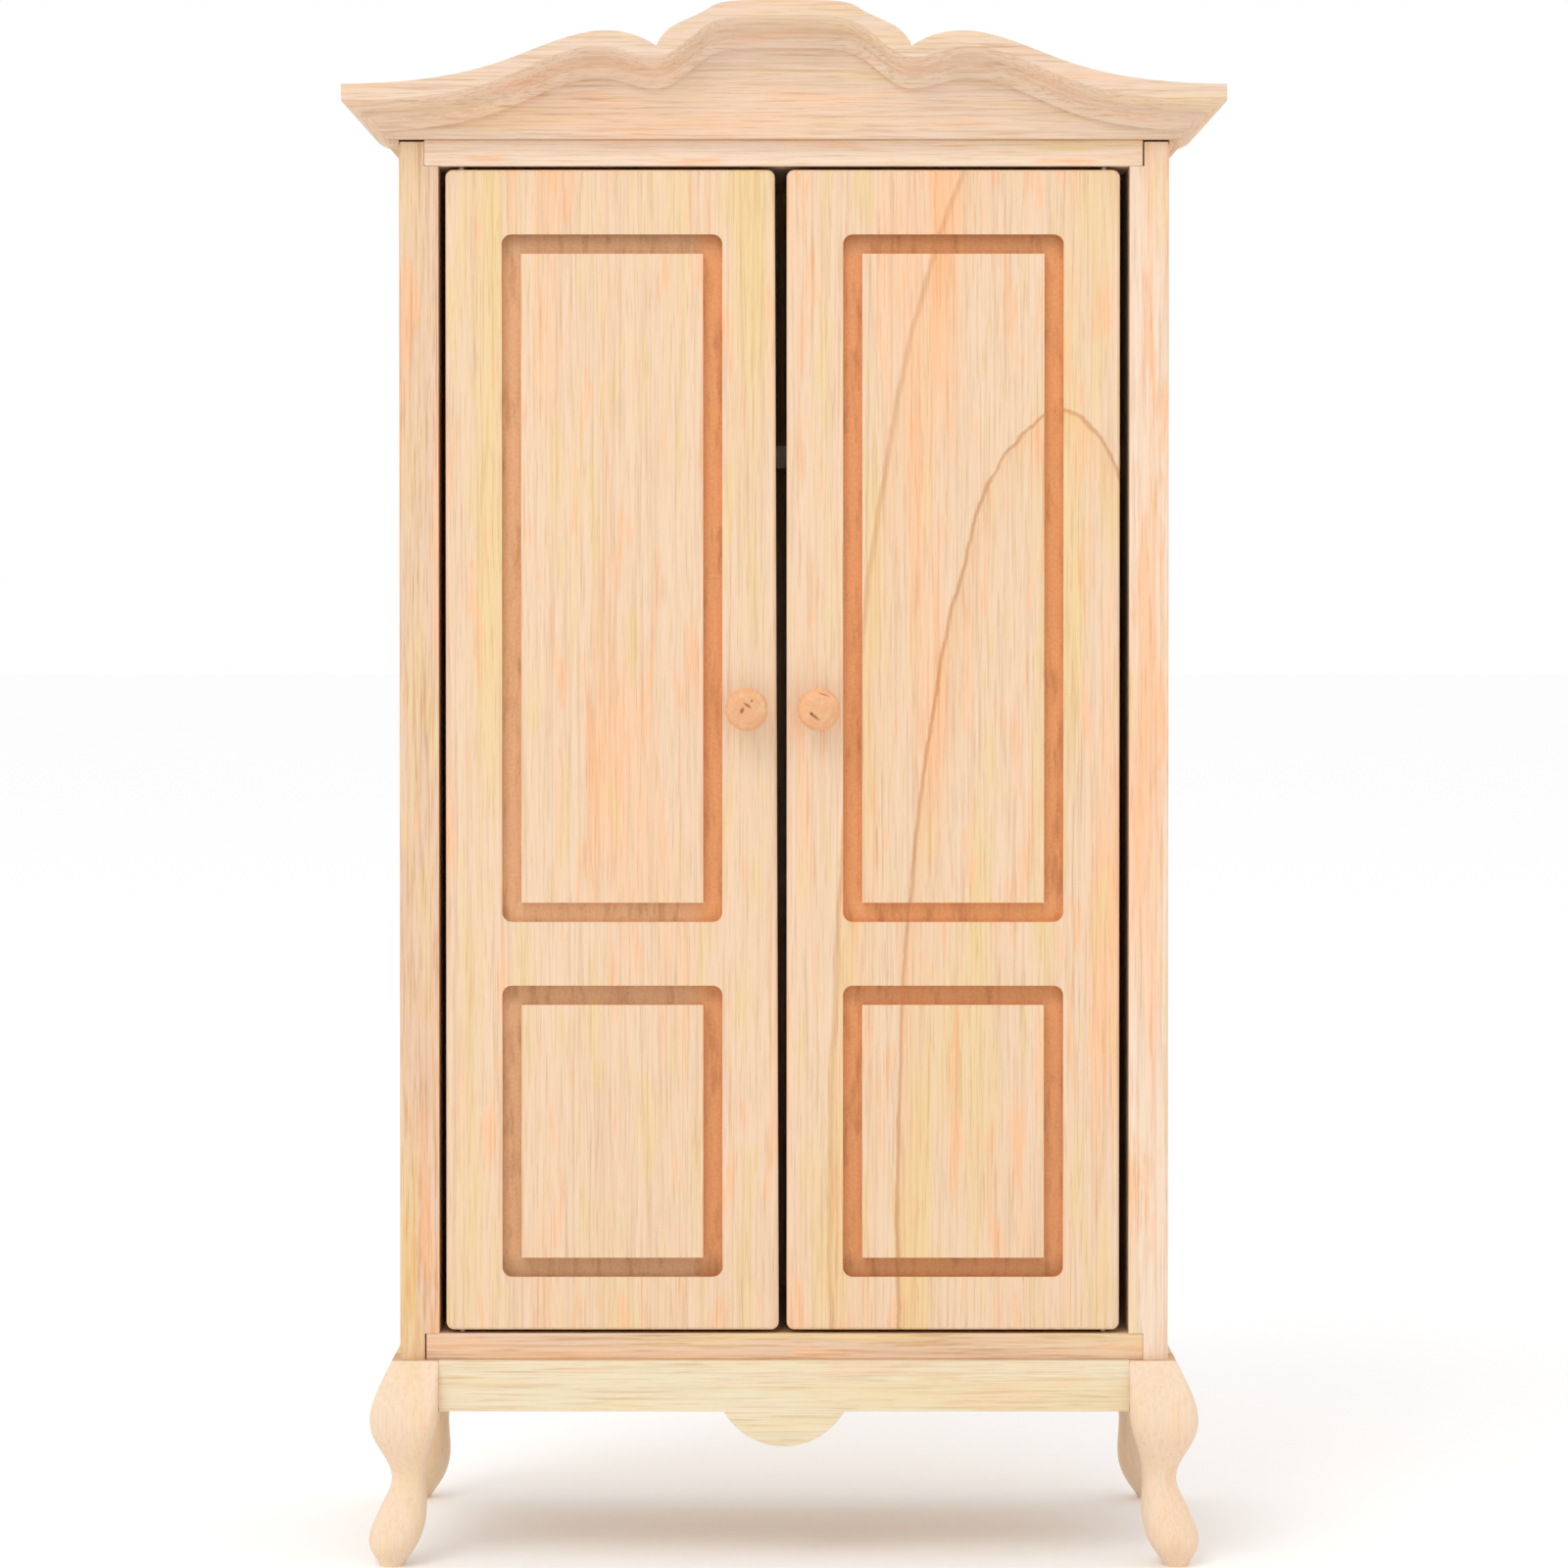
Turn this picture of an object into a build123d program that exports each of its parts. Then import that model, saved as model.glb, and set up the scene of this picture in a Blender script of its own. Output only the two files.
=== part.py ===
from build123d import *
import os

os.makedirs("parts", exist_ok=True)

# Miniature wardrobe, 1:12 scale, all sizes in millimetres.
# +Z is up, +X is the viewer's right and the doors face -Y.
# The origin is under the middle of the bounding box, on the floor.

# --- Driving dimensions ---------------------------------------------------
carcass_width = 88.0
carcass_depth = 38.0
carcass_bottom = 23.4
carcass_top = 163.0
side_thickness = 4.5
board_thickness = 3.0
rebate_depth = 1.65
back_thickness = 2.0
tongue_short = 0.25
joint_gap = 0.15
shelf_thickness = 2.7
shelf_bottom = 125.9
shelf_setback = 14.0
dado_depth = 1.0
edge_softening = 0.3

door_width = 38.1
door_thickness = 3.5
door_taper = 0.45
door_floor_gap = 0.4
left_hinge_gap = 0.8
right_hinge_gap = 1.1
door_corner = 0.9
door_edge = 0.45
groove_width = 2.2
groove_depth = 1.2
groove_field_width = 25.2
groove_levels = [(32.9, 66.3), (73.6, 152.2)]

pin_radius = 0.45
pin_clearance = 0.05
pin_head_radius = 0.9
pin_head_depth = 0.6
pin_in_door = 3.5
pivot_inset = 1.75

knob_height = 98.0
knob_inset = 3.66
knob_radius = 2.4
knob_reach = 4.4
knob_neck_radius = 1.3
knob_rim_reach = 2.7
knob_tip_radius = 1.45
knob_tenon_radius = 0.9
knob_tenon_length = 2.2

base_lip = 0.9
leg_top = 5.4
apron_thickness = 3.0
apron_bottom = 17.6
apron_drop_width = 13.8
apron_drop = 4.0
rear_foot_reach = 2.6

crown_overhang = 6.0
crown_back = 5.0
crown_height = 5.7
crown_fillet = 1.9
crown_ovolo_middle = (5.2, 3.1)
crown_ovolo = (3.8, 2.65)
crown_step = 0.5
crown_cove = (2.6, 1.9)
crown_cove_middle = (2.25, 1.35)
crown_bead = (2.15, 0.65)
crown_foot = 1.4
return_lip = 0.6
crest_peak = 178.2
crest_shoulder = (9.6, 176.6)
crest_cheek = (12.7, 175.1)
crest_valley = (14.4, 173.0)
crest_bump = (19.4, 174.7)
crest_slope = (32.0, 171.2)
crest_tail = (41.0, 169.2)
valley_from_slope = (-0.85, -0.55)
valley_to_arch = (-0.35, 0.94)
moulding_valley = (14.0, 173.7)
moulding_spare = 1.0

# --- Places worked out from them ------------------------------------------
half_width = carcass_width / 2
half_inside = half_width - side_thickness
half_board = half_inside + rebate_depth
front_y = crown_overhang - (crown_overhang + carcass_depth + rear_foot_reach) / 2
back_y = front_y + carcass_depth
back_panel_y = back_y - back_thickness
floor_top = carcass_bottom + board_thickness
ceiling = carcass_top - board_thickness

door_bottom = floor_top + door_floor_gap
door_top = ceiling - door_floor_gap
left_door_edge = -half_inside + left_hinge_gap
right_door_edge = half_inside - right_hinge_gap
pivot_y = front_y + door_thickness / 2

leg_inner_front = front_y - base_lip + leg_top
leg_inner_back = back_y - leg_top
base_front = front_y - base_lip
crown_end = carcass_top + crown_height
crown_half = half_width + crown_overhang


def save(piece, name):
    """Label a finished piece and write it to its own STEP file."""
    piece.part.label = name
    export_step(piece.part, f"parts/{name}.step")


def block(x_span, y_span, z_span, mode=Mode.ADD):
    """Add, or cut away, the box that fills the three spans."""
    spans = (x_span, y_span, z_span)
    with Locations(tuple(sum(span) / 2 for span in spans)):
        Box(*[span[1] - span[0] for span in spans], mode=mode)


def cut_block(x_span, y_span, z_span):
    """Cut away everything inside the three spans."""
    block(x_span, y_span, z_span, mode=Mode.SUBTRACT)


def ordered(a, b):
    """A span with its lower end first."""
    return (min(a, b), max(a, b))


# --- Carcass ----------------------------------------------------------------
def make_side_panel(name, side):
    """Side board, rebated for the top, bottom and back, with a shelf housing."""
    inner = side * half_inside
    rebate = ordered(inner, side * half_board)
    depth = (front_y, back_y)
    housing = ordered(inner, side * (half_inside + dado_depth))
    with BuildPart() as panel:
        block(ordered(inner, side * half_width), depth, (carcass_bottom, carcass_top - tongue_short))
        cut_block(rebate, depth, (carcass_bottom, floor_top))
        cut_block(rebate, depth, (ceiling, carcass_top))
        cut_block(rebate, (back_panel_y, back_y), (carcass_bottom, carcass_top))
        shelf_span = (shelf_bottom, shelf_bottom + shelf_thickness)
        cut_block(housing, (front_y + shelf_setback, back_panel_y), shelf_span)
        front_edges = panel.faces().sort_by(Axis.Y)[0].edges().filter_by(Axis.Z)
        outer_front = front_edges.sort_by(Axis.X)[-1 if side > 0 else 0]
        fillet(outer_front, edge_softening)
    save(panel, name)


for panel_name, panel_side in (("left_side_panel", -1), ("right_side_panel", 1)):
    make_side_panel(panel_name, panel_side)


def pin_seat(face_z, direction):
    """Bore through a board for the two door pins, with a seat for each head."""
    for pivot_x in (left_door_edge + pivot_inset, right_door_edge - pivot_inset):
        with Locations(Plane(origin=(pivot_x, pivot_y, face_z), z_dir=(0, 0, direction))):
            CounterBoreHole(pin_radius, pin_head_radius, pin_head_depth, board_thickness)


with BuildPart() as top_board:
    block((-half_board, half_board - joint_gap), (front_y, back_panel_y), (ceiling, carcass_top))
    pin_seat(carcass_top, 1)
save(top_board, "top_board")

with BuildPart() as bottom_board:
    block((joint_gap - half_board, half_board), (front_y, back_panel_y), (carcass_bottom, floor_top))
    pin_seat(carcass_bottom, -1)
save(bottom_board, "bottom_board")

with BuildPart() as back_panel:
    block((-half_board, half_board), (back_panel_y, back_y), (carcass_bottom, carcass_top))
save(back_panel, "back_panel")

with BuildPart() as shelf:
    half_shelf = half_inside + dado_depth
    shelf_z = (shelf_bottom, shelf_bottom + shelf_thickness)
    block((-half_shelf, half_shelf), (front_y + shelf_setback, back_panel_y), shelf_z)
save(shelf, "shelf")


# --- Doors --------------------------------------------------------------------
def knob_x(hinge_edge, toward_middle):
    """Distance of a knob's axis from the middle of the wardrobe."""
    return hinge_edge + toward_middle * (door_width - knob_inset)


def make_door(name, hinge_edge, toward_middle, taper):
    """Slab door with two routed rectangles, pivot bores and a knob mortise."""
    meeting_edge = hinge_edge + toward_middle * door_width
    middle_x = (hinge_edge + meeting_edge) / 2
    with BuildPart() as door:
        with BuildSketch(Plane.XZ.offset(-front_y)) as outline:
            with BuildLine():
                Polyline(
                    (hinge_edge, door_bottom),
                    (meeting_edge, door_bottom),
                    (meeting_edge - toward_middle * taper, door_top),
                    (hinge_edge, door_top),
                    close=True,
                )
            make_face()
            fillet(outline.vertices(), door_corner)
        extrude(amount=-door_thickness)
        fillet(door.faces().sort_by(Axis.Y)[0].edges(), door_edge)
        with BuildSketch(Plane.XZ.offset(-front_y)):
            for low, high in groove_levels:
                with Locations((middle_x, (low + high) / 2)):
                    RectangleRounded(groove_field_width, high - low, groove_width / 2)
                    inner_width = groove_field_width - 2 * groove_width
                    Rectangle(inner_width, high - low - 2 * groove_width, mode=Mode.SUBTRACT)
        extrude(amount=-groove_depth, mode=Mode.SUBTRACT)
        pivot_x = hinge_edge + toward_middle * pivot_inset
        for end_z, outward in ((door_bottom, -1), (door_top, 1)):
            with Locations(Plane(origin=(pivot_x, pivot_y, end_z), z_dir=(0, 0, outward))):
                Hole(pin_radius + pin_clearance, pin_in_door + pin_clearance)
        mortise_x = knob_x(hinge_edge, toward_middle)
        with Locations(Plane(origin=(mortise_x, front_y, knob_height), z_dir=(0, -1, 0))):
            Hole(knob_tenon_radius, knob_tenon_length)
    save(door, name)


make_door("left_door", left_door_edge, 1, door_taper)
make_door("right_door", right_door_edge, -1, 0.0)


def make_knob(name, x):
    """Turned knob: tenon, slim neck, mushroom rim and a small flat tip."""
    neck_curve = (knob_neck_radius + 0.1, -knob_rim_reach * 0.55)
    cap_curve = (knob_radius * 0.92, -knob_reach * 0.85)
    rim = (knob_radius, -knob_rim_reach)
    axis_plane = Plane(origin=(x, front_y, knob_height), x_dir=(1, 0, 0), z_dir=(0, 0, 1))
    with BuildPart() as knob:
        with BuildSketch(axis_plane):
            with BuildLine():
                Polyline(
                    (0, -knob_reach),
                    (0, knob_tenon_length),
                    (knob_tenon_radius, knob_tenon_length),
                    (knob_tenon_radius, 0),
                    (knob_neck_radius, 0),
                )
                ThreePointArc((knob_neck_radius, 0), neck_curve, rim)
                ThreePointArc(rim, cap_curve, (knob_tip_radius, -knob_reach))
                Line((knob_tip_radius, -knob_reach), (0, -knob_reach))
            make_face()
        revolve(axis=Axis((x, front_y, knob_height), (0, 1, 0)))
    save(knob, name)


make_knob("left_knob", knob_x(left_door_edge, 1))
make_knob("right_knob", knob_x(right_door_edge, -1))


def make_pin(name, x, board_face, into_door):
    """Headed pin driven through a board and on into the end of a door."""
    length = board_thickness + door_floor_gap + pin_in_door
    with BuildPart() as pin:
        with BuildSketch(Plane(origin=(x, pivot_y, board_face), z_dir=(0, 0, into_door))):
            Circle(pin_radius)
        extrude(amount=length)
        with BuildSketch(Plane(origin=(x, pivot_y, board_face), z_dir=(0, 0, into_door))):
            Circle(pin_head_radius)
        extrude(amount=pin_head_depth)
        chamfer(pin.edges().sort_by(Axis.Z)[-1 if into_door > 0 else 0], pin_radius / 3)
    save(pin, name)


for door_side, pin_x in (
    ("left", left_door_edge + pivot_inset),
    ("right", right_door_edge - pivot_inset),
):
    make_pin(f"{door_side}_top_pin", pin_x, carcass_top, -1)
    make_pin(f"{door_side}_bottom_pin", pin_x, carcass_bottom, 1)


# --- Base ---------------------------------------------------------------------
with BuildPart() as front_apron:
    with BuildSketch(Plane.XZ.offset(-base_front)):
        with BuildLine():
            half_drop = apron_drop_width / 2
            Polyline(
                (half_drop, apron_bottom),
                (half_inside, apron_bottom),
                (half_inside, carcass_bottom),
                (-half_inside, carcass_bottom),
                (-half_inside, apron_bottom),
                (-half_drop, apron_bottom),
            )
            ThreePointArc(
                (-half_drop, apron_bottom),
                (0, apron_bottom - apron_drop),
                (half_drop, apron_bottom),
            )
        make_face()
    extrude(amount=-apron_thickness)
save(front_apron, "front_apron")

with BuildPart() as rear_apron:
    rear_span = (back_y - apron_thickness, back_y)
    block((-half_inside, half_inside), rear_span, (apron_bottom, carcass_bottom))
save(rear_apron, "rear_apron")

for apron_name, side in (("left_apron", -1), ("right_apron", 1)):
    with BuildPart() as side_apron:
        outer = side * (half_width + base_lip)
        apron_x = ordered(outer, outer - side * apron_thickness)
        block(apron_x, (leg_inner_front, leg_inner_back), (apron_bottom, carcass_bottom))
    save(side_apron, apron_name)

# Each leg station is its height, the reach of its inner and outer edges
# from the leg's inner corner, and the rounding of its corners.
leg_stations = [
    (carcass_bottom, 0.0, leg_top, 0.3),
    (21.6, 0.0, 6.3, 0.5),
    (19.6, 0.0, 7.2, 0.9),
    (17.1, 0.1, 7.8, 1.3),
    (13.1, 1.1, 6.7, 1.7),
    (9.1, 1.6, 5.6, 1.7),
    (6.4, 1.5, 6.8, 2.3),
    (3.7, 1.9, 7.9, 2.9),
    (2.2, 2.6, 7.9, 2.6),
    (0.9, 3.5, 7.2, 1.8),
    (0.0, 4.0, 6.8, 1.35),
]


def make_leg(name, side, outward_y, inner_y):
    """Cabriole leg lofted down from its square block to a small pad foot."""
    with BuildPart() as leg:
        for height, inner, outer, corner in leg_stations:
            centre = (inner + outer) / 2
            with BuildSketch(Plane.XY.offset(height)):
                with Locations((side * (half_inside + centre), inner_y + outward_y * centre)):
                    RectangleRounded(outer - inner, outer - inner, corner)
        loft()
        split(bisect_by=Plane(origin=(side * half_inside, 0, 0), z_dir=(side, 0, 0)))
        split(bisect_by=Plane(origin=(0, inner_y, 0), z_dir=(0, outward_y, 0)))
    save(leg, name)


for leg_name, side, outward_y, inner_y in (
    ("front_left_leg", -1, -1, leg_inner_front),
    ("front_right_leg", 1, -1, leg_inner_front),
    ("rear_left_leg", -1, 1, leg_inner_back),
    ("rear_right_leg", 1, 1, leg_inner_back),
):
    make_leg(leg_name, side, outward_y, inner_y)


# --- Crown --------------------------------------------------------------------
def crown_profile(top=crown_height):
    """Moulding section: x is the reach past the carcass, y the height on the crown's foot."""
    fillet_foot = (crown_overhang, crown_height - crown_fillet)
    Polyline(
        (crown_foot, 0),
        (-crown_back, 0),
        (-crown_back, top),
        (crown_overhang, top),
        fillet_foot,
    )
    ThreePointArc(fillet_foot, crown_ovolo_middle, crown_ovolo)
    Polyline(crown_ovolo, (crown_ovolo[0], crown_ovolo[1] - crown_step), crown_cove)
    ThreePointArc(crown_cove, crown_cove_middle, crown_bead)
    Polyline(crown_bead, (crown_foot, crown_bead[1]), (crown_foot, 0))


def mitre(side, keep_front):
    """Plane through one front corner of the crown, at 45 degrees in plan."""
    corner = (side * half_width, front_y, 0)
    facing = (-side, -1, 0) if keep_front else (side, 1, 0)
    return Plane(origin=corner, z_dir=facing)


def crest_outline():
    """Half of the crest's top edge: the end, the slope, the bump, the valley and the arch."""
    Spline(
        (crown_half, crown_end),
        crest_tail,
        crest_slope,
        crest_bump,
        crest_valley,
        tangents=((-1, 0), valley_from_slope),
    )
    Spline(
        crest_valley,
        crest_cheek,
        crest_shoulder,
        (0, crest_peak),
        tangents=(valley_to_arch, (-1, 0)),
    )


# The cutter rounds the valley that the crest's sawn edge leaves sharp.
with BuildLine(Plane.XZ) as cutter_path:
    Spline(
        (crown_half, crown_end),
        crest_tail,
        crest_slope,
        crest_bump,
        moulding_valley,
        crest_shoulder,
        (0, crest_peak),
        tangents=((-1, 0), (-1, 0)),
    )

with BuildPart() as crest_front:
    crown_corner = (crown_half, front_y, carcass_top)
    with BuildSketch(Plane(origin=crown_corner, x_dir=(0, -1, 0), z_dir=(-1, 0, 0))):
        with BuildLine():
            crown_profile(top=crown_height + moulding_spare)
        make_face()
    sweep(path=cutter_path.line, normal=(1, 0, 0))
    block((0, crown_half), (front_y - crown_foot, front_y + crown_back), (carcass_top, crest_peak))
    with BuildSketch(Plane.XZ.offset(-front_y)):
        with BuildLine():
            crest_outline()
            Polyline((0, crest_peak), (0, carcass_top), (crown_half, carcass_top), (crown_half, crown_end))
        make_face()
    extrude(amount=crown_half, both=True, mode=Mode.INTERSECT)
    split(bisect_by=mitre(1, keep_front=True))
    mirror(about=Plane.YZ)
save(crest_front, "crest_front")

for return_name, side in (("left_crown_return", -1), ("right_crown_return", 1)):
    with BuildPart() as crown_return:
        foot = (side * half_width, back_y, carcass_top)
        with BuildSketch(Plane(origin=foot, x_dir=(side, 0, 0), z_dir=(0, -side, 0))):
            with BuildLine():
                crown_profile()
            make_face()
        extrude(amount=side * (carcass_depth + crown_overhang))
        lip_x = ordered(side * half_width, side * (half_width + crown_foot))
        block(lip_x, (front_y - crown_foot, back_y), (carcass_top - return_lip, carcass_top))
        split(bisect_by=mitre(side, keep_front=False))
    save(crown_return, return_name)
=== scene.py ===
from math import atan, pi

import bmesh
import bpy
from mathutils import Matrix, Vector


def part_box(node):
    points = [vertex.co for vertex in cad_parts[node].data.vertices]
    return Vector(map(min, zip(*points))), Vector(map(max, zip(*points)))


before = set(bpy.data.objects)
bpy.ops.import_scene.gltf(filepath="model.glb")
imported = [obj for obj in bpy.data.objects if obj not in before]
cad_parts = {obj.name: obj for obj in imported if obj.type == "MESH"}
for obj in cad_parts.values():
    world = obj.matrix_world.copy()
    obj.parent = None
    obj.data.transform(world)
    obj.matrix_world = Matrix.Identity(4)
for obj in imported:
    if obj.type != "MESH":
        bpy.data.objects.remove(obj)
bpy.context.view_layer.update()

bl_info = {
    "name": "Miniature Wardrobe",
    "version": (1, 0, 0),
    "blender": (4, 5, 0),
    "location": "View3D > Sidebar > Wardrobe",
    "description": "Dresses the bare wood miniature wardrobe and sets up its stage",
    "category": "Object",
}

MM = 0.001
SENSOR_WIDTH = 36.0
# Sockets of a Mix node that mixes colours.
FACTOR, FIRST, SECOND, MIXED = 0, 6, 7, 2


def linear(hex_colour):
    """Turn an sRGB hex colour into linear red, green and blue."""
    channels = [int(hex_colour[i:i + 2], 16) / 255 for i in (0, 2, 4)]
    return tuple(c / 12.92 if c <= 0.04045 else ((c + 0.055) / 1.055) ** 2.4 for c in channels)


def colour_property(name, description, hex_colour):
    """A colour that the sidebar shows, with its default given in sRGB hex."""
    return bpy.props.FloatVectorProperty(
        name=name, description=description, default=linear(hex_colour), subtype="COLOR", min=0, max=1
    )


def length_property(name, description, millimetres):
    """A length in metres, with its default given in millimetres."""
    return bpy.props.FloatProperty(
        name=name, description=description, default=millimetres * MM, subtype="DISTANCE", unit="LENGTH"
    )


def strength_property(name, description, amount):
    """How strongly something shows, from nothing to full."""
    return bpy.props.FloatProperty(
        name=name, description=description, default=amount, min=0, max=1, subtype="FACTOR"
    )


class WoodSettings(bpy.types.PropertyGroup):
    """Colours and grain sizes of the bare wood."""

    pale: colour_property("Pale", "Sanded faces of the doors", "E7CAAC")
    tan: colour_property("Tan", "Duller boards: the left side and the floor", "E1C2A6")
    rosy: colour_property("Rosy", "Pinker boards: the right side and the top", "ECD4BD")
    light: colour_property("Light", "Cream wood of the aprons", "E7D9BB")
    legs: colour_property("Legs", "Slightly pinker wood of the legs", "EBD2B7")
    crown: colour_property("Crown", "Moulded wood of the crown", "E3CAB3")
    cream: colour_property("Cream", "Yellowish sapwood bands", "E6CA96")
    peach: colour_property("Peach", "Warm heartwood bands", "F2BC90")
    brown_cut: colour_property("Brown cut", "Scorched groove, where the grain is calm", "E8B484")
    orange_cut: colour_property("Orange cut", "Scorched groove, where the wood is warmer", "ECA468")
    end_grain: colour_property("End grain", "Sawn ends of the boards", "CB9A6C")
    turned: colour_property("Turned", "Knobs turned from warmer wood", "E6AE82")
    fibre_width: length_property("Fibre width", "Width of one grain streak", 0.36)
    fibre_length: length_property("Fibre length", "Length of one grain streak", 22.0)
    pore_width: length_property("Pore width", "Width of one hair line", 0.17)
    pore_length: length_property("Pore length", "Length of one hair line", 6.5)
    band_width: length_property("Band width", "Width of one band of colour", 6.0)
    band_length: length_property("Band length", "Length of one band of colour", 84.0)
    fleck_width: length_property("Fleck width", "Width of one short patch of colour", 2.2)
    fleck_length: length_property("Fleck length", "Length of one short patch of colour", 15.4)
    speck_width: length_property("Speck width", "Width of one cut fibre on a sawn end", 0.35)
    band_strength: strength_property("Band strength", "How much the bands of colour show", 0.85)
    fleck_strength: strength_property("Fleck strength", "How much the short patches show", 0.68)
    hair_strength: strength_property("Hair line strength", "How much the fine lines show", 0.6)


class GrooveSettings(bpy.types.PropertyGroup):
    """Where the routed grooves of a door lie."""

    half_width: length_property("Half width", "From the door's middle to a groove's outside", 12.7)
    deepest: length_property("Deepest", "Depth below the door's face that is still groove", 1.3)
    shallowest: length_property("Shallowest", "Depth below the door's face where a groove begins", 0.1)
    low_foot: length_property("Lower foot", "Foot of the short rectangle above the door's foot", 6.0)
    low_head: length_property("Lower head", "Head of the short rectangle above the door's foot", 39.6)
    high_foot: length_property("Upper foot", "Foot of the tall rectangle above the door's foot", 46.7)
    high_head: length_property("Upper head", "Head of the tall rectangle above the door's foot", 125.5)


class ArchSettings(bpy.types.PropertyGroup):
    """The arched growth ring on the right door."""

    inset: length_property("Inset", "From the door's outer edge to the arch's middle", 7.3)
    foot: length_property("Foot", "Height of the arch's widest place above the door's foot", 13.0)
    half_width: length_property("Half width", "From the arch's middle to its side", 18.2)
    height: length_property("Height", "From the arch's foot to its top", 92.4)
    waver: length_property("Waver", "Length of one wander of the line", 7.0)
    wander: strength_property("Wander", "How far the line wanders, beside the arch's size", 0.045)


class EdgeSettings(bpy.types.PropertyGroup):
    """How far the sanding block has rounded the edges."""

    board: length_property("Boards", "Softening of the board edges", 0.18)
    door: length_property("Doors", "Softening of the grooves' arrises", 0.1)
    moulding: length_property("Moulding", "Softening of the crown's arrises", 0.08)


class StageSettings(bpy.types.PropertyGroup):
    """Camera, light and floor."""

    distance: length_property("Distance", "From the camera to the doors", 510)
    eye_height: length_property("Eye height", "Height of the camera above the floor", 110.7)
    aim_height: length_property("Aim height", "Height on the doors that is mid frame", 89.4)
    focal_length: bpy.props.FloatProperty(
        name="Focal length", description="Lens in millimetres", default=102.4, subtype="DISTANCE_CAMERA"
    )
    lens_shift: bpy.props.FloatProperty(
        name="Lens shift", description="Upward shift of the lens, in frame widths", default=-0.08
    )
    key_power: bpy.props.FloatProperty(
        name="Key light", description="Power of the large soft key light", default=1.6, unit="POWER"
    )
    key_place: bpy.props.FloatVectorProperty(
        name="Key place", description="Where the key light hangs", default=(-0.30, -0.50, 0.70),
        subtype="TRANSLATION", unit="LENGTH",
    )
    key_size: length_property("Key size", "Side of the square key light", 400)
    floor_reach: length_property("Floor reach", "From the middle of the floor to its edge", 6000)
    floor: colour_property("Floor", "Pale paper under the wardrobe", "FDFDFD")


# --- Node trees -----------------------------------------------------------------
def add_node(tree, kind, inputs=None, stops=None, **settings):
    """Add a node, set its options, then fill its inputs with values or with other sockets."""
    node = tree.nodes.new(kind)
    for name, value in settings.items():
        setattr(node, name, value)
    for key, value in (inputs or {}).items():
        if isinstance(value, bpy.types.NodeSocket):
            tree.links.new(value, node.inputs[key])
        else:
            node.inputs[key].default_value = value
    if stops:
        elements = node.color_ramp.elements
        while len(elements) < len(stops):
            elements.new(1.0)
        for element, (position, colour) in zip(elements, stops):
            element.position = position
            element.color = (*colour, 1.0)
    return node


def grey(value):
    """The same value in all three channels."""
    return (value, value, value)


def grain_scale(grain, across, along):
    """Mapping scale that makes a pattern one unit per width across and per length along the grain."""
    return tuple(1 / along if axis == grain else 1 / across for axis in "XYZ")


def new_material(name):
    """An empty material with its tree, its output and its object coordinates."""
    material = bpy.data.materials.new(name)
    material.use_nodes = True
    tree = material.node_tree
    tree.nodes.clear()
    where = add_node(tree, "ShaderNodeTexCoord")
    return material, tree, where


def streaks(tree, where, grain, shift, width, length, roughness=0.6):
    """Noise drawn out along the grain, one unit wide and one unit long per streak."""
    spread = add_node(
        tree, "ShaderNodeMapping",
        {"Vector": where.outputs["Object"], "Location": shift, "Scale": grain_scale(grain, width, length)},
    )
    noise = add_node(
        tree, "ShaderNodeTexNoise",
        {"Vector": spread.outputs[0], "Scale": 1.0, "Detail": 4.0, "Roughness": roughness, "Distortion": 0.2},
    )
    return noise.outputs["Fac"]


def tinted(tree, colour, pattern, stops, amount):
    """Multiply a colour by a ramp laid over a pattern."""
    ramp = add_node(tree, "ShaderNodeValToRGB", {"Fac": pattern}, stops=stops)
    darker = add_node(
        tree, "ShaderNodeMix", {FACTOR: amount, FIRST: colour, SECOND: ramp.outputs["Color"]},
        data_type="RGBA", blend_type="MULTIPLY",
    )
    return darker.outputs[MIXED]


# Tints that each kind of fine line lays over the wood, from its darkest part to clear.
FIBRE_TINTS = [(0.34, (0.84, 0.75, 0.66)), (0.48, (0.97, 0.95, 0.93)), (0.58, grey(1.0))]
PORE_TINTS = [(0.36, (0.82, 0.72, 0.62)), (0.48, grey(1.0))]


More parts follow.
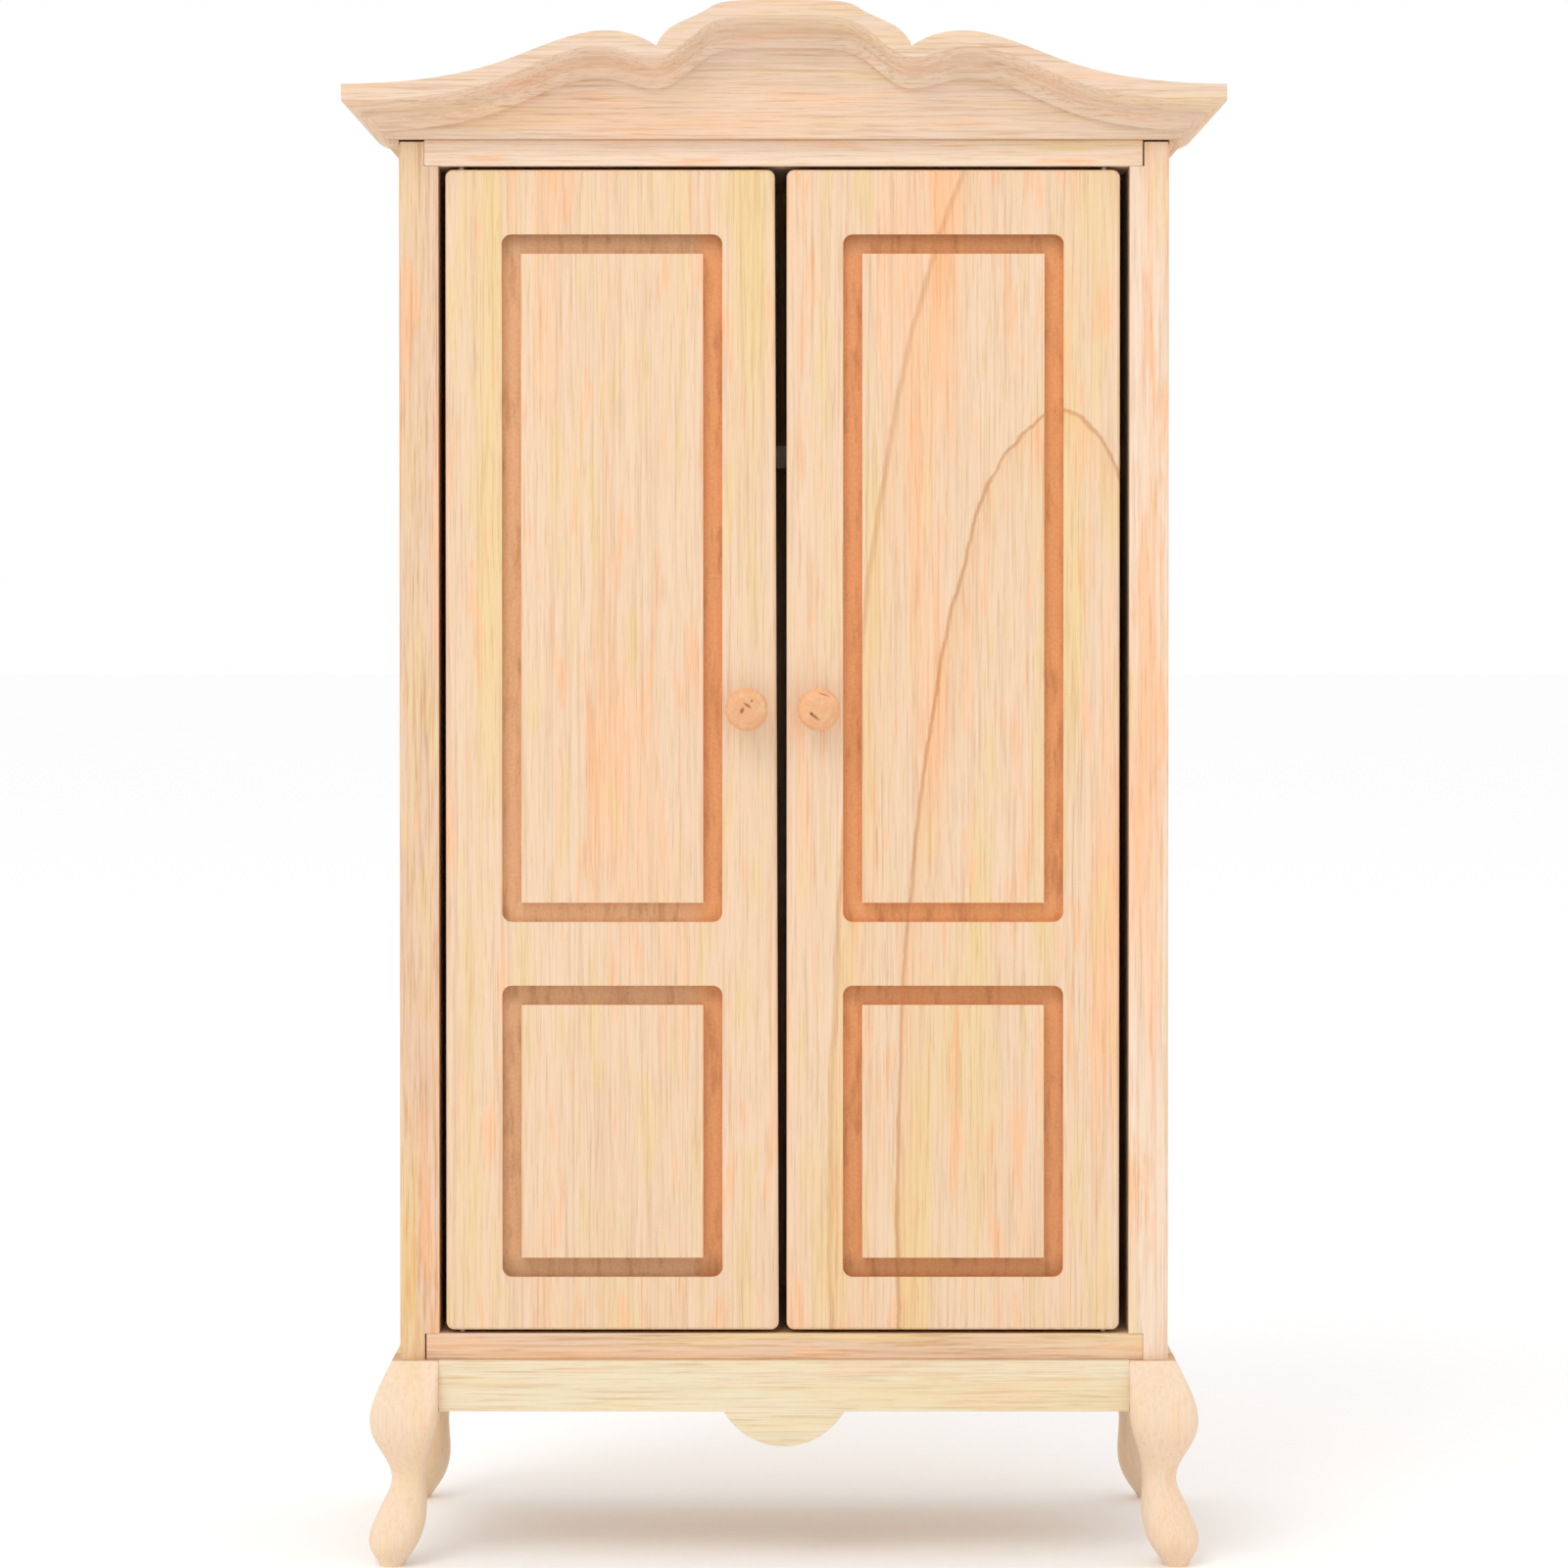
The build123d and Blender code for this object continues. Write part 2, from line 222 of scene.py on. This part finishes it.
def bare_wood(
    name, grain, main, shift=(0, 0, 0), figure=None, routed=None, coarse=1.0, bandedness=1.0, sawn_ends=0.6
):
    """Basswood, sawn, sanded and left bare.

    The eye gets a matt pale face: cream and peach bands a few millimetres wide, short
    patches of both, hair-fine brown lines along the grain, and browner sawn ends that
    drink the light. Real fibres are a few hundredths of a millimetre wide, too fine to
    show, so the lines are drawn a few tenths wide. The figure and routed functions add
    marks that belong to one piece; coarse and bandedness scale the lines and the bands.
    """
    wood = bpy.context.scene.wardrobe_wood
    material, tree, where = new_material(name)
    main, cream, peach = tuple(main), tuple(wood.cream), tuple(wood.peach)

    bands = streaks(tree, where, grain, shift, wood.band_width, wood.band_length, 0.5)
    ramp = add_node(
        tree, "ShaderNodeValToRGB", {"Fac": bands},
        stops=[(0.33, cream), (0.46, main), (0.55, main), (0.72, peach)],
    )
    banded = add_node(
        tree, "ShaderNodeMix",
        {FACTOR: wood.band_strength * bandedness, FIRST: (*main, 1.0), SECOND: ramp.outputs["Color"]},
        data_type="RGBA",
    )
    colour = banded.outputs[MIXED]
    flecks = streaks(tree, where, grain, shift[::-1], wood.fleck_width, wood.fleck_length)
    strength = wood.fleck_strength * bandedness
    for stops, tint in (
        ([(0.56, 0.0), (0.66, strength)], peach),
        ([(0.34, strength), (0.44, 0.0)], cream),
    ):
        spot = add_node(
            tree, "ShaderNodeValToRGB", {"Fac": flecks}, stops=[(at, grey(value)) for at, value in stops]
        )
        flecked = add_node(
            tree, "ShaderNodeMix", {FACTOR: spot.outputs["Color"], FIRST: colour, SECOND: (*tint, 1.0)},
            data_type="RGBA",
        )
        colour = flecked.outputs[MIXED]
    if figure:
        colour = figure(tree, where, colour)

    fibres = streaks(tree, where, grain, shift, wood.fibre_width, wood.fibre_length)
    colour = tinted(tree, colour, fibres, FIBRE_TINTS, wood.hair_strength * coarse)
    pores = streaks(tree, where, grain, shift[::-1], wood.pore_width, wood.pore_length)
    colour = tinted(tree, colour, pores, PORE_TINTS, wood.hair_strength * coarse)

    # Sawn ends show where the surface faces along the grain.
    facing = add_node(tree, "ShaderNodeSeparateXYZ", {0: where.outputs["Normal"]})
    along = add_node(tree, "ShaderNodeMath", {0: facing.outputs[grain]}, operation="ABSOLUTE")
    sawn = add_node(
        tree, "ShaderNodeMapRange",
        {"Value": along.outputs[0], "From Min": 0.72, "From Max": 0.97, "To Max": sawn_ends},
    )
    specks = add_node(
        tree, "ShaderNodeTexNoise",
        {"Vector": where.outputs["Object"], "Scale": 1 / wood.speck_width, "Detail": 3.0,
         "Roughness": 0.7},
    )
    end_colour = add_node(
        tree, "ShaderNodeValToRGB", {"Fac": specks.outputs["Fac"]},
        stops=[(0.32, tuple(c * 0.72 for c in wood.end_grain)), (0.62, tuple(wood.end_grain))],
    )
    ended = add_node(
        tree, "ShaderNodeMix",
        {FACTOR: sawn.outputs[0], FIRST: colour, SECOND: end_colour.outputs["Color"]},
        data_type="RGBA",
    )
    colour = ended.outputs[MIXED]
    if routed:
        colour = routed(tree, where, colour, specks.outputs["Fac"])

    roughness = add_node(
        tree, "ShaderNodeMapRange", {"Value": fibres, "To Min": 0.82, "To Max": 0.58}
    )
    relief = add_node(
        tree, "ShaderNodeBump", {"Strength": 0.35, "Distance": 0.05 * MM, "Height": fibres}
    )
    shader = add_node(
        tree, "ShaderNodeBsdfPrincipled",
        {"Base Color": colour, "Roughness": roughness.outputs[0], "Normal": relief.outputs[0],
         "Specular IOR Level": 0.3, "IOR": 1.5},
    )
    add_node(tree, "ShaderNodeOutputMaterial", {"Surface": shader.outputs[0]})
    return material


def drawn_steel(name):
    """Nail wire: low carbon steel drawn through a die, a grey metal with fine lines along the pin."""
    material, tree, where = new_material(name)
    lines = add_node(
        tree, "ShaderNodeMapping",
        {"Vector": where.outputs["Object"], "Scale": grain_scale("Z", 0.08 * MM, 3 * MM)},
    )
    noise = add_node(
        tree, "ShaderNodeTexNoise", {"Vector": lines.outputs[0], "Scale": 1.0, "Detail": 3.0}
    )
    colour = add_node(
        tree, "ShaderNodeValToRGB", {"Fac": noise.outputs["Fac"]},
        stops=[(0.3, linear("8A8781")), (0.7, linear("BDBAB3"))],
    )
    roughness = add_node(
        tree, "ShaderNodeMapRange", {"Value": noise.outputs["Fac"], "To Min": 0.28, "To Max": 0.5}
    )
    relief = add_node(
        tree, "ShaderNodeBump", {"Strength": 0.2, "Distance": 0.01 * MM, "Height": noise.outputs["Fac"]}
    )
    shader = add_node(
        tree, "ShaderNodeBsdfPrincipled",
        {"Base Color": colour.outputs["Color"], "Metallic": 1.0, "Roughness": roughness.outputs[0],
         "Normal": relief.outputs[0]},
    )
    add_node(tree, "ShaderNodeOutputMaterial", {"Surface": shader.outputs[0]})
    return material


# --- Pieces ---------------------------------------------------------------------
def dress(node, material, softening=0.0):
    """Give a CAD node its material, and soften its arrises as sandpaper does."""
    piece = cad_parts[node]
    piece.data.materials.clear()
    piece.data.materials.append(material)
    if softening:
        weld = piece.modifiers.new("Weld", "WELD")
        weld.merge_threshold = 0.002 * MM
        bevel = piece.modifiers.new("Sanded edge", "BEVEL")
        bevel.width = softening
        bevel.segments = 3
        bevel.limit_method = "ANGLE"
        bevel.angle_limit = 35 * pi / 180
        smooth = piece.modifiers.new("Face weighting", "WEIGHTED_NORMAL")
        smooth.keep_sharp = True


class CarcassOperator(bpy.types.Operator):
    """Dress the sides, the top, bottom and back boards and the shelf"""

    bl_idname = "wardrobe.carcass"
    bl_label = "Carcass"

    def execute(self, context):
        edge = context.scene.wardrobe_edges.board
        wood = context.scene.wardrobe_wood
        for node, grain, main, shift, figure, coarse in (
            ("left_side_panel", "Z", wood.tan, (0.3, 0.1, 0.2), warm_foot, 1.5),
            ("right_side_panel", "Z", wood.rosy, (0.7, 0.4, 0.6), None, 1.0),
            ("top_board", "X", wood.rosy, (0.2, 0.9, 0.4), None, 0.9),
            ("bottom_board", "X", wood.tan, (0.8, 0.2, 0.1), None, 1.5),
            ("back_panel", "Z", wood.pale, (0.5, 0.5, 0.9), None, 1.0),
            ("shelf", "X", wood.pale, (0.6, 0.3, 0.3), None, 1.0),
        ):
            board = bare_wood(f"Bare basswood {node}", grain, main, shift, figure, coarse=coarse)
            dress(node, board, edge)
        return {"FINISHED"}


# Painted shade in the grooves, up a door as fractions of 130 mm: darkest along the four cross cuts,
# most of all under the top wall of the tall rectangle, and light along the uprights.
SHADE_RAMP_HEIGHT = 130 * MM
GROOVE_SHADE_BY_HEIGHT = [
    (0.058, (0.72, 0.70, 0.68)), (0.068, grey(0.92)), (0.284, grey(0.95)),
    (0.292, (0.78, 0.75, 0.72)), (0.330, grey(0.97)), (0.940, grey(1.0)),
    (0.950, grey(0.88)), (0.966, (0.66, 0.64, 0.62)),
]
# Short burnt streaks, then redder ones, along the grain of the groove.
SCORCH_MOTTLE = [
    (0.32, (0.72, 0.62, 0.52)), (0.46, (0.94, 0.92, 0.92)), (0.56, grey(1.0)),
    (0.68, (1.0, 0.90, 1.0)),
]
SCORCH_SPECKS = [(0.30, grey(0.80)), (0.60, grey(1.0))]


def routed_rectangles(node, left_cut, right_cut):
    """Return a function that browns the routed grooves of one door, where the cutter rubbed, and paints shade
    into them by height.
    """
    groove = bpy.context.scene.wardrobe_grooves
    low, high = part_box(node)
    middle = (low.x + high.x) / 2
    mid_depth = (groove.shallowest + groove.deepest) / 2
    levels = [(groove.low_foot, groove.low_head), (groove.high_foot, groove.high_head)]

    def brown(tree, where, colour, specks):
        spot = add_node(tree, "ShaderNodeSeparateXYZ", {0: where.outputs["Object"]})
        across = add_node(
            tree, "ShaderNodeMath", {0: spot.outputs["X"], 1: middle, 2: groove.half_width},
            operation="COMPARE",
        )
        sunk = add_node(
            tree, "ShaderNodeMath",
            {0: spot.outputs["Y"], 1: low.y + mid_depth, 2: groove.deepest - mid_depth},
            operation="COMPARE",
        )
        inside = add_node(
            tree, "ShaderNodeMath", {0: across.outputs[0], 1: sunk.outputs[0]}, operation="MULTIPLY"
        )
        tall = None
        for bottom, top in levels:
            level = add_node(
                tree, "ShaderNodeMath",
                {0: spot.outputs["Z"], 1: low.z + (bottom + top) / 2, 2: (top - bottom) / 2},
                operation="COMPARE",
            )
            if tall:
                tall = add_node(
                    tree, "ShaderNodeMath", {0: tall.outputs[0], 1: level.outputs[0]}, operation="MAXIMUM"
                )
            else:
                tall = level
        cut = add_node(
            tree, "ShaderNodeMath", {0: inside.outputs[0], 1: tall.outputs[0]}, operation="MULTIPLY"
        )
        sideways = add_node(
            tree, "ShaderNodeMapRange",
            {"Value": spot.outputs["X"], "From Min": middle - groove.half_width,
             "From Max": middle + groove.half_width},
        )
        burnt = add_node(
            tree, "ShaderNodeValToRGB", {"Fac": sideways.outputs[0]},
            stops=[(0.86, left_cut), (0.92, right_cut)],
        )
        upwards = add_node(
            tree, "ShaderNodeMapRange",
            {"Value": spot.outputs["Z"], "From Min": low.z, "From Max": low.z + SHADE_RAMP_HEIGHT},
        )
        # Painted shade: the groove's colour is darkened by height, most under the top wall of the tall
        # rectangle.
        burn_with_painted_shade = tinted(tree, burnt.outputs["Color"], upwards.outputs[0], GROOVE_SHADE_BY_HEIGHT, 1.0)
        burnt_streaks = streaks(tree, where, "Z", (0.4, 0.4, 1.7), 0.9 * MM, 5 * MM)
        mottled = tinted(tree, burn_with_painted_shade, burnt_streaks, SCORCH_MOTTLE, 0.9)
        speckled = tinted(tree, mottled, specks, SCORCH_SPECKS, 0.8)
        # The groove takes its burnt colour together with the painted shade.
        amount = add_node(
            tree, "ShaderNodeMath", {0: cut.outputs[0], 1: 0.9}, operation="MULTIPLY"
        )
        burnt_and_shaded = add_node(
            tree, "ShaderNodeMix", {FACTOR: amount.outputs[0], FIRST: colour, SECOND: speckled},
            data_type="RGBA",
        )
        return burnt_and_shaded.outputs[MIXED]

    return brown


# Each growth ring's size beside the arch's own, the tint of its line and the tint just inside.
RINGS = (
    (1.022, (0.76, 0.57, 0.42), (1.0, 0.90, 0.79)),
    (1.44, (0.86, 0.73, 0.61), (1.0, 0.94, 0.86)),
)
RING_REACH_MM = 10


def cathedral(tree, where, colour):
    """Arched growth rings of a flat sawn board, rounded at the top and open at the foot."""
    arch = bpy.context.scene.wardrobe_arch
    low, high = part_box("right_door")
    foot = Vector((high.x - arch.inset, 0, low.z + arch.foot))
    waver = add_node(
        tree, "ShaderNodeTexNoise",
        {"Vector": where.outputs["Object"], "Scale": 1 / arch.waver, "Detail": 4.0, "Roughness": 0.6},
    )
    plane = add_node(
        tree, "ShaderNodeMapping",
        {"Vector": where.outputs["Object"],
         "Location": (-foot.x / arch.half_width, 0, -foot.z / arch.height),
         "Scale": (1 / arch.half_width, 0, 1 / arch.height)},
    )
    radius = add_node(tree, "ShaderNodeVectorMath", {0: plane.outputs[0]}, operation="LENGTH")
    wander = add_node(
        tree, "ShaderNodeMath",
        {0: waver.outputs["Fac"], 1: arch.wander, 2: radius.outputs["Value"]}, operation="MULTIPLY_ADD",
    )
    # Dividing by the slope keeps a ring equally thin at its top and along its sides.
    lean = add_node(
        tree, "ShaderNodeVectorMath",
        {0: plane.outputs[0], 1: (MM / arch.half_width, 0, MM / arch.height)}, operation="MULTIPLY",
    )
    slope = add_node(tree, "ShaderNodeVectorMath", {0: lean.outputs[0]}, operation="LENGTH")
    for ring, line, inner in RINGS:
        inside = add_node(
            tree, "ShaderNodeMath", {0: wander.outputs[0], 1: ring}, operation="SUBTRACT"
        )
        reach = add_node(
            tree, "ShaderNodeMath", {0: inside.outputs[0], 1: slope.outputs["Value"]}, operation="DIVIDE"
        )
        band = add_node(
            tree, "ShaderNodeMapRange",
            {"Value": reach.outputs[0], "From Min": -RING_REACH_MM, "From Max": RING_REACH_MM},
        )
        # From the inside of the ring to the outside: a slow warm shade, the line, then clear.
        shades = [
            (0.20, grey(1.0)), (0.40, (1.0, 0.96, 0.91)), (0.482, inner),
            (0.494, line), (0.504, line), (0.514, grey(1.0)),
        ]
        colour = tinted(tree, colour, band.outputs[0], shades, 0.85)
    return colour


def warm_foot(tree, where, colour):
    """Orange heartwood that shows in patches towards the foot of a side board."""
    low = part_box("left_side_panel")[0]
    warm_height = 70 * MM
    spot = add_node(tree, "ShaderNodeSeparateXYZ", {0: where.outputs["Object"]})
    lowness = add_node(
        tree, "ShaderNodeMapRange",
        {"Value": spot.outputs["Z"], "From Min": low.z + warm_height, "From Max": low.z,
         "To Max": 0.9},
    )
    patches = streaks(tree, where, "Z", (2.7, 1.3, 0.4), 1.6 * MM, 7 * MM)
    spread = add_node(
        tree, "ShaderNodeMapRange", {"Value": patches, "From Min": 0.42, "From Max": 0.6}
    )
    amount = add_node(
        tree, "ShaderNodeMath", {0: lowness.outputs[0], 1: spread.outputs[0]}, operation="MULTIPLY"
    )
    warmed = add_node(
        tree, "ShaderNodeMix",
        {FACTOR: amount.outputs[0], FIRST: colour, SECOND: (0.98, 0.83, 0.66, 1.0)},
        data_type="RGBA", blend_type="MULTIPLY",
    )
    return warmed.outputs[MIXED]


class DoorsOperator(bpy.types.Operator):
    """Dress the two routed doors"""

    bl_idname = "wardrobe.doors"
    bl_label = "Doors"

    def execute(self, context):
        wood = context.scene.wardrobe_wood
        brown, orange = tuple(wood.brown_cut), tuple(wood.orange_cut)
        for node, shift, figure, left_cut in (
            ("left_door", (0.15, 0.6, 0.35), None, brown),
            ("right_door", (0.45, 0.2, 0.75), cathedral, orange),
        ):
            routed = routed_rectangles(node, left_cut, orange)
            board = bare_wood(f"Bare basswood {node}", "Z", wood.pale, shift, figure, routed)
            dress(node, board, context.scene.wardrobe_edges.door)
        return {"FINISHED"}


# Each scar's place across and up from the knob's middle, its half length and half width in
# millimetres, and its tilt in degrees.
SCARS = {
    "left": [(0.1, 0.5, 0.7, 0.2, 35), (-0.5, -0.1, 0.3, 0.5, 20), (0.6, 1.0, 0.2, 0.2, 0)],
    "right": [(-0.5, -0.75, 0.95, 0.22, 38), (-0.85, -0.45, 0.25, 0.3, 0), (0.5, 1.75, 0.9, 0.09, 18)],
}
SCAR_TINTS = [(0.35, (0.42, 0.27, 0.16)), (1.0, grey(1.0))]


def turning_scars(node, places):
    """Return a function that marks a knob's tip where the parting tool tore the end grain."""
    low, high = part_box(node)
    middle = (low + high) / 2

    def scarred(tree, where, colour, specks):
        for across, up, length, width, tilt in places:
            spot = add_node(
                tree, "ShaderNodeMapping",
                {"Vector": where.outputs["Object"],
                 "Location": (middle.x + across * MM, middle.y, middle.z + up * MM),
                 "Rotation": (0, tilt * pi / 180, 0),
                 "Scale": (length * MM, 1.0, width * MM)},
                vector_type="TEXTURE",
            )
            flat = add_node(
                tree, "ShaderNodeVectorMath", {0: spot.outputs[0], 1: (1, 0, 1)}, operation="MULTIPLY"
            )
            reach = add_node(tree, "ShaderNodeVectorMath", {0: flat.outputs[0]}, operation="LENGTH")
            colour = tinted(tree, colour, reach.outputs["Value"], SCAR_TINTS, 0.9)
        return colour

    return scarred


class KnobsOperator(bpy.types.Operator):
    """Dress the two turned knobs"""

    bl_idname = "wardrobe.knobs"
    bl_label = "Knobs"

    def execute(self, context):
        turned = context.scene.wardrobe_wood.turned
        for side, places in SCARS.items():
            node = f"{side}_knob"
            wood = bare_wood(
                f"Turned birch {side} knob", "Y", turned, (0.2, 0.2, 0.9),
                routed=turning_scars(node, places), coarse=0.5, sawn_ends=0.2,
            )
            dress(node, wood)
        return {"FINISHED"}


class BaseOperator(bpy.types.Operator):
    """Dress the aprons and the four cabriole legs"""

    bl_idname = "wardrobe.base"
    bl_label = "Base"

    def execute(self, context):
        edge = context.scene.wardrobe_edges.board
        wood = context.scene.wardrobe_wood
        aprons = {"front_apron": "X", "rear_apron": "X", "left_apron": "Y", "right_apron": "Y"}
        for node, grain in aprons.items():
            rail = bare_wood(
                f"Cream basswood {node}", grain, wood.light, (0.4, 0.8, 0.2), bandedness=0.45
            )
            dress(node, rail, edge)
        for number, node in enumerate(sorted(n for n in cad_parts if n.endswith("_leg"))):
            shift = (0.1 + 0.2 * number, 0.5, 0.3)
            leg = bare_wood(
                f"Cream basswood {node}", "Z", wood.legs, shift, coarse=0.5, bandedness=0.4
            )
            dress(node, leg)
        return {"FINISHED"}


class CrownOperator(bpy.types.Operator):
    """Dress the serpentine crest and its two returns"""

    bl_idname = "wardrobe.crown"
    bl_label = "Crown"

    def execute(self, context):
        edge = context.scene.wardrobe_edges.moulding
        crown = context.scene.wardrobe_wood.crown
        for node, grain, shift in (
            ("crest_front", "X", (0.6, 0.1, 0.8)),
            ("left_crown_return", "Y", (0.3, 0.9, 0.1)),
            ("right_crown_return", "Y", (0.7, 0.3, 0.4)),
        ):
            moulding = bare_wood(
                f"Moulded basswood {node}", grain, crown, shift, coarse=1.3, bandedness=0.5
            )
            dress(node, moulding, edge)
        return {"FINISHED"}


class PinsOperator(bpy.types.Operator):
    """Dress the four pivot pins"""

    bl_idname = "wardrobe.pins"
    bl_label = "Pivot pins"

    def execute(self, context):
        steel = drawn_steel("Drawn steel nail")
        for node in sorted(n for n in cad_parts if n.endswith("_pin")):
            dress(node, steel)
        return {"FINISHED"}


# --- Stage ----------------------------------------------------------------------
class StageOperator(bpy.types.Operator):
    """Lay the floor, hang the key light and set up the camera"""

    bl_idname = "wardrobe.stage"
    bl_label = "Stage"

    def execute(self, context):
        stage = context.scene.wardrobe_stage
        mesh = bmesh.new()
        bmesh.ops.create_grid(mesh, x_segments=1, y_segments=1, size=stage.floor_reach)
        data = bpy.data.meshes.new("Paper floor")
        mesh.to_mesh(data)
        mesh.free()
        floor = bpy.data.objects.new("Paper floor", data)
        context.scene.collection.objects.link(floor)
        paper = bpy.data.materials.new("Matt paper")
        paper.use_nodes = True
        shader = paper.node_tree.nodes["Principled BSDF"]
        shader.inputs["Base Color"].default_value = (*stage.floor, 1.0)
        shader.inputs["Roughness"].default_value = 1.0
        shader.inputs["Specular IOR Level"].default_value = 0.0
        data.materials.append(paper)

        world = bpy.data.worlds.new("Studio")
        world.use_nodes = True
        backdrop = world.node_tree.nodes["Background"]
        backdrop.inputs["Color"].default_value = (*linear("FFFFFF"), 1.0)
        backdrop.inputs["Strength"].default_value = 1.0
        context.scene.world = world

        door_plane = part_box("right_door")[0].y
        middle = Vector((0, door_plane, stage.aim_height))
        soft_box = bpy.data.lights.new("Key", "AREA")
        soft_box.size = stage.key_size
        soft_box.energy = stage.key_power
        key = bpy.data.objects.new("Key", soft_box)
        key.location = stage.key_place
        key.rotation_euler = (middle - stage.key_place).to_track_quat("-Z", "Y").to_euler()
        context.scene.collection.objects.link(key)

        lens = bpy.data.cameras.new("Camera")
        lens.lens = stage.focal_length
        lens.sensor_width = SENSOR_WIDTH
        lens.shift_y = stage.lens_shift
        lens.clip_start = 10 * MM
        camera = bpy.data.objects.new("Camera", lens)
        camera.location = (0, door_plane - stage.distance, stage.eye_height)
        below = atan((stage.eye_height - stage.aim_height) / stage.distance)
        held_by_shift = atan(-lens.shift_y * lens.sensor_width / lens.lens)
        camera.rotation_euler = (pi / 2 - (below - held_by_shift), 0, 0)
        context.scene.collection.objects.link(camera)
        context.scene.camera = camera
        context.scene.view_settings.view_transform = "Standard"
        return {"FINISHED"}


OPERATORS = (
    CarcassOperator,
    DoorsOperator,
    KnobsOperator,
    BaseOperator,
    CrownOperator,
    PinsOperator,
    StageOperator,
)


class WardrobePanel(bpy.types.Panel):
    """Lists the wardrobe's settings and its steps"""

    bl_idname = "VIEW3D_PT_wardrobe"
    bl_label = "Miniature Wardrobe"
    bl_space_type = "VIEW_3D"
    bl_region_type = "UI"
    bl_category = "Wardrobe"

    def draw(self, context):
        for group_name in GROUPS:
            settings = getattr(context.scene, group_name)
            box = self.layout.box()
            for name in settings.__annotations__:
                box.prop(settings, name)
        for operator in OPERATORS:
            self.layout.operator(operator.bl_idname)


GROUPS = {
    "wardrobe_wood": WoodSettings,
    "wardrobe_grooves": GrooveSettings,
    "wardrobe_arch": ArchSettings,
    "wardrobe_edges": EdgeSettings,
    "wardrobe_stage": StageSettings,
}


def register():
    """Make the settings, the operators and the panel known."""
    for name, group in GROUPS.items():
        bpy.utils.register_class(group)
        setattr(bpy.types.Scene, name, bpy.props.PointerProperty(type=group))
    for operator in OPERATORS:
        bpy.utils.register_class(operator)
    bpy.utils.register_class(WardrobePanel)


def unregister():
    """Take them away again."""
    bpy.utils.unregister_class(WardrobePanel)
    for operator in reversed(OPERATORS):
        bpy.utils.unregister_class(operator)
    for name, group in GROUPS.items():
        delattr(bpy.types.Scene, name)
        bpy.utils.unregister_class(group)


def main():
    """Build everything in order."""
    register()
    bpy.ops.wardrobe.carcass()
    bpy.ops.wardrobe.doors()
    bpy.ops.wardrobe.knobs()
    bpy.ops.wardrobe.base()
    bpy.ops.wardrobe.crown()
    bpy.ops.wardrobe.pins()
    bpy.ops.wardrobe.stage()
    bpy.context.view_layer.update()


if __name__ == "__main__":
    main()
